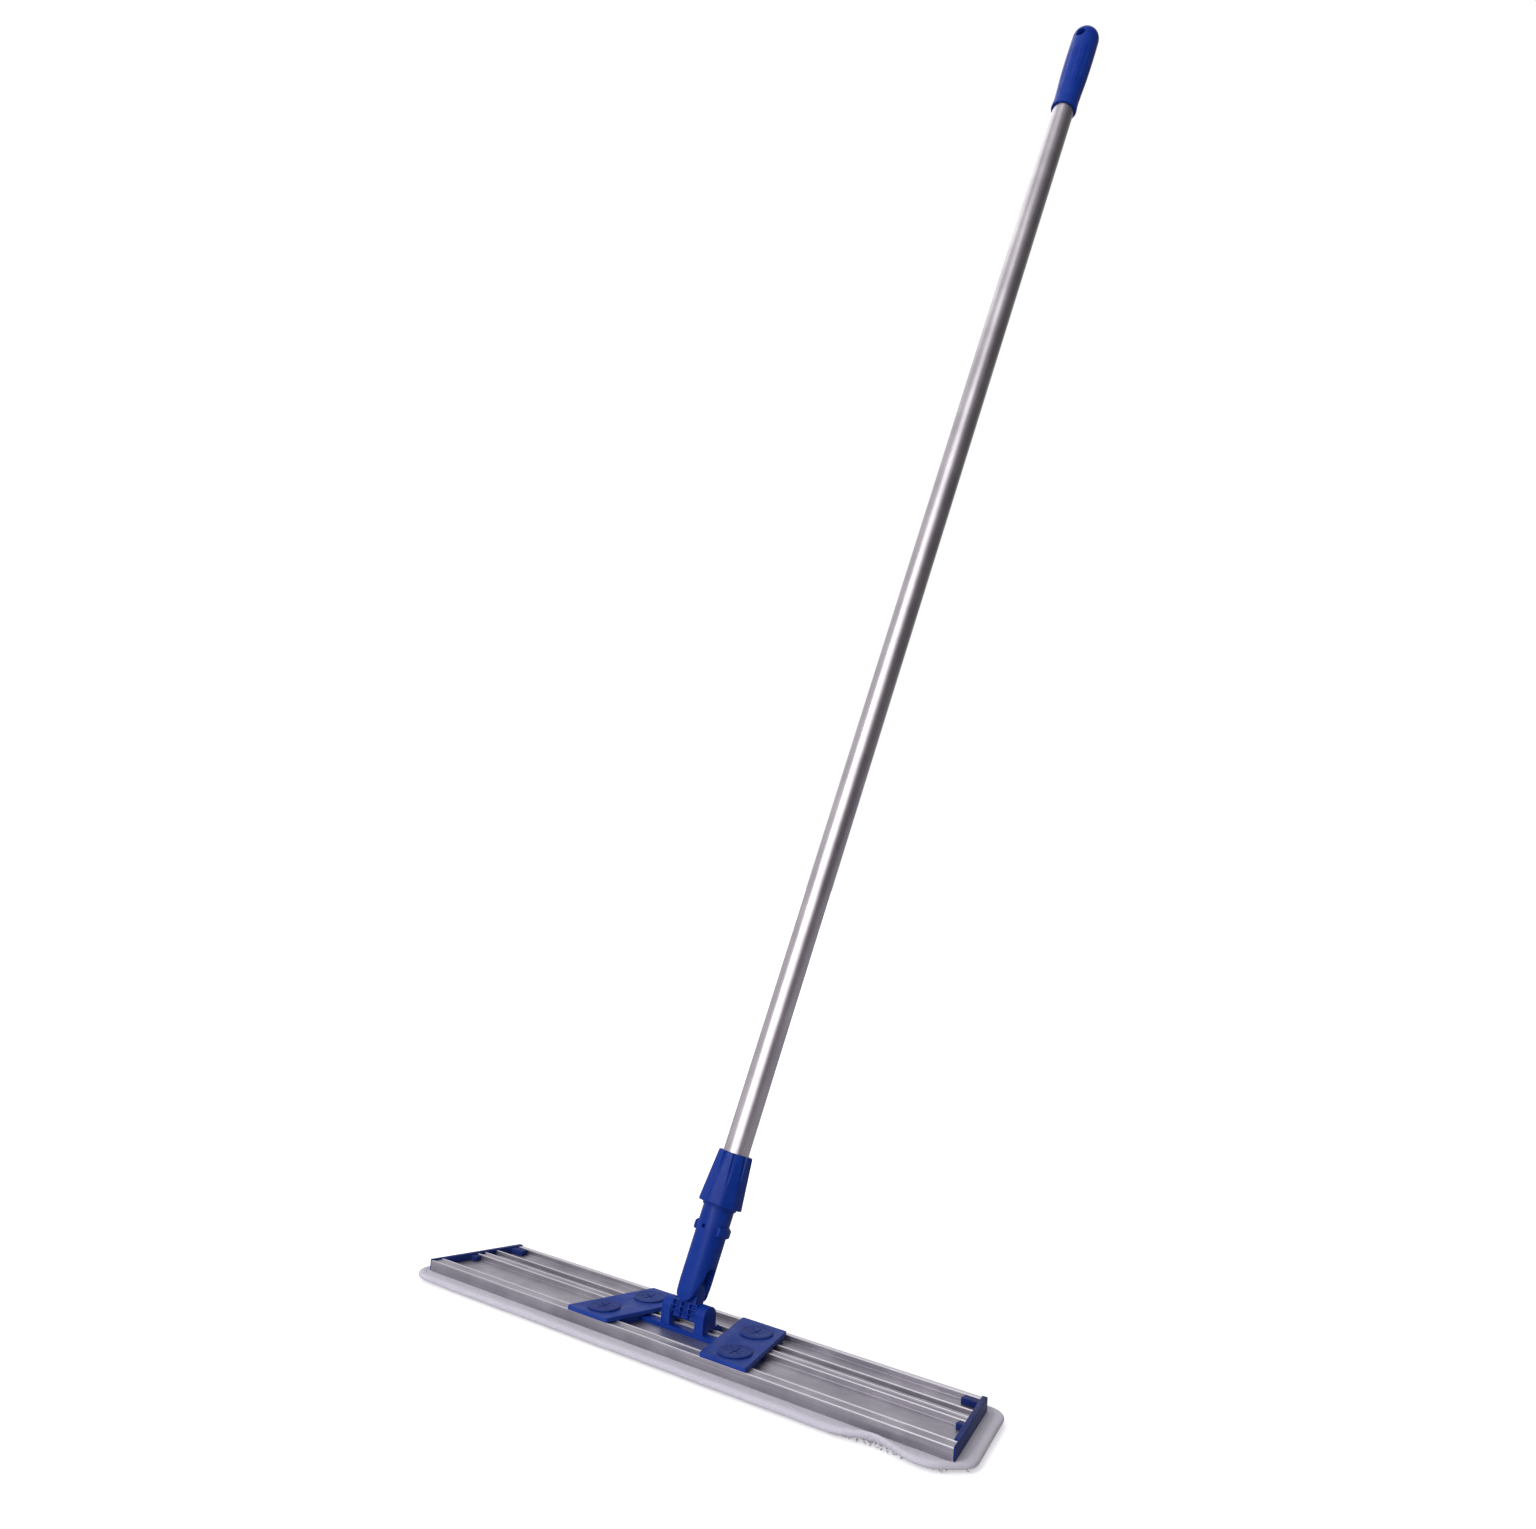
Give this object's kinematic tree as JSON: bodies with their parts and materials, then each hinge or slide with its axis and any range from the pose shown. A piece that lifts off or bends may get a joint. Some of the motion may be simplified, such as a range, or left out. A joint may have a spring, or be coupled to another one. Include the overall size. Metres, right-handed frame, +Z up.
{
  "type": "flat mop",
  "caption": "Flat mop with a ribbed trapezoid aluminium frame, raised cloth plates with slit grippers, a two-axis swivel, a clamped aluminium tube handle and a microfibre pad.",
  "frame": {"origin": "on the floor, under the middle of the mop frame and under the tilt axis, at the face mount sole", "axes": "+Z up, +X along the frame to the right, -Y the front, which is the longer edge of the frame"},
  "size_m": [0.6262, 0.4911, 1.4758],
  "materials": {
    "aluminium_mill": "extruded, fine lengthwise draw lines, satin",
    "cap_plastic": "injection moulded, fine texture",
    "hook_tape": "hook tape",
    "plate_plastic": "injection moulded, fine texture",
    "gripper_rubber": "soft moulded rubber",
    "joint_plastic": "injection moulded, low gloss",
    "rivet_metal": "plain",
    "pin_steel": "ground",
    "ring_plastic": "plain acetal",
    "tube_anodised": "silver anodised, satin",
    "grip_plastic": "moulded, low gloss",
    "microfibre": "looped microfibre pile",
    "pad_core_fabric": "needled absorbent layer",
    "loop_fabric": "brushed loop fabric",
    "binding_tape": "folded woven tape"
  },
  "bodies": {
    "head": {"frame_extrusion": "aluminium_mill", "end_cap_left": "cap_plastic", "end_cap_right": "cap_plastic", "hook_strip_front": "hook_tape", "hook_strip_rear": "hook_tape", "cloth_plate_left": "plate_plastic", "cloth_plate_right": "plate_plastic", "gripper_left_front": "gripper_rubber", "gripper_left_rear": "gripper_rubber", "gripper_right_front": "gripper_rubber", "gripper_right_rear": "gripper_rubber", "pad_face": "microfibre", "pad_core": "pad_core_fabric", "pad_backing": "loop_fabric", "pad_binding": "binding_tape", "swivel_base": "joint_plastic", "base_rivets": "rivet_metal"},
    "hinge_block": {"hinge_block": "joint_plastic", "tilt_pin": "pin_steel", "swivel_pin": "pin_steel"},
    "handle": {"swivel_fork": "joint_plastic", "handle_adapter": "joint_plastic", "button_spring": "pin_steel", "handle_tube": "tube_anodised", "grip": "grip_plastic"},
    "clamp_ring": {"clamp_ring": "ring_plastic"},
    "clamp_nut": {"clamp_nut": "joint_plastic"},
    "release_button_left": {"release_button_left": "joint_plastic"},
    "release_button_right": {"release_button_right": "joint_plastic"}
  },
  "joints": [
    {"name": "tilt", "type": "hinge", "parent": "head", "child": "hinge_block", "pos_m": [0, 0, 0.031], "axis": [-1, 0, 0], "range_deg": [-91, 59]},
    {"name": "swing", "type": "hinge", "parent": "hinge_block", "child": "handle", "pos_m": [0, 0.00593, 0.05167], "axis": [0, 0.9613, -0.2756], "range_deg": [-61, 49]},
    {"name": "nut_turn", "type": "hinge", "parent": "clamp_ring", "child": "clamp_nut", "pos_m": [0.01024, 0.03279, 0.14536], "axis": [0.1045, 0.2741, 0.956], "range_deg": [0, 360]},
    {"name": "ring_travel", "type": "slide", "parent": "handle", "child": "clamp_ring", "axis": [0.1045, 0.2741, 0.956], "range_m": [0, 0.0025]},
    {"name": "button_right_press", "type": "slide", "parent": "handle", "child": "release_button_right", "axis": [-0.9945, 0.0288, 0.1005], "range_m": [0, 0.0026], "stiffness_N_per_m": 400, "springref_m": -0.001, "deforming": ["button_spring"]},
    {"name": "button_left_press", "type": "slide", "parent": "handle", "child": "release_button_left", "axis": [0.9945, -0.0288, -0.1005], "range_m": [0, 0.0026], "stiffness_N_per_m": 400, "springref_m": -0.001, "deforming": ["button_spring"]}
  ],
  "couplings": [
    {"joint": "ring_travel", "follows": "nut_turn", "m_per_rad": 0.00039789}
  ]
}
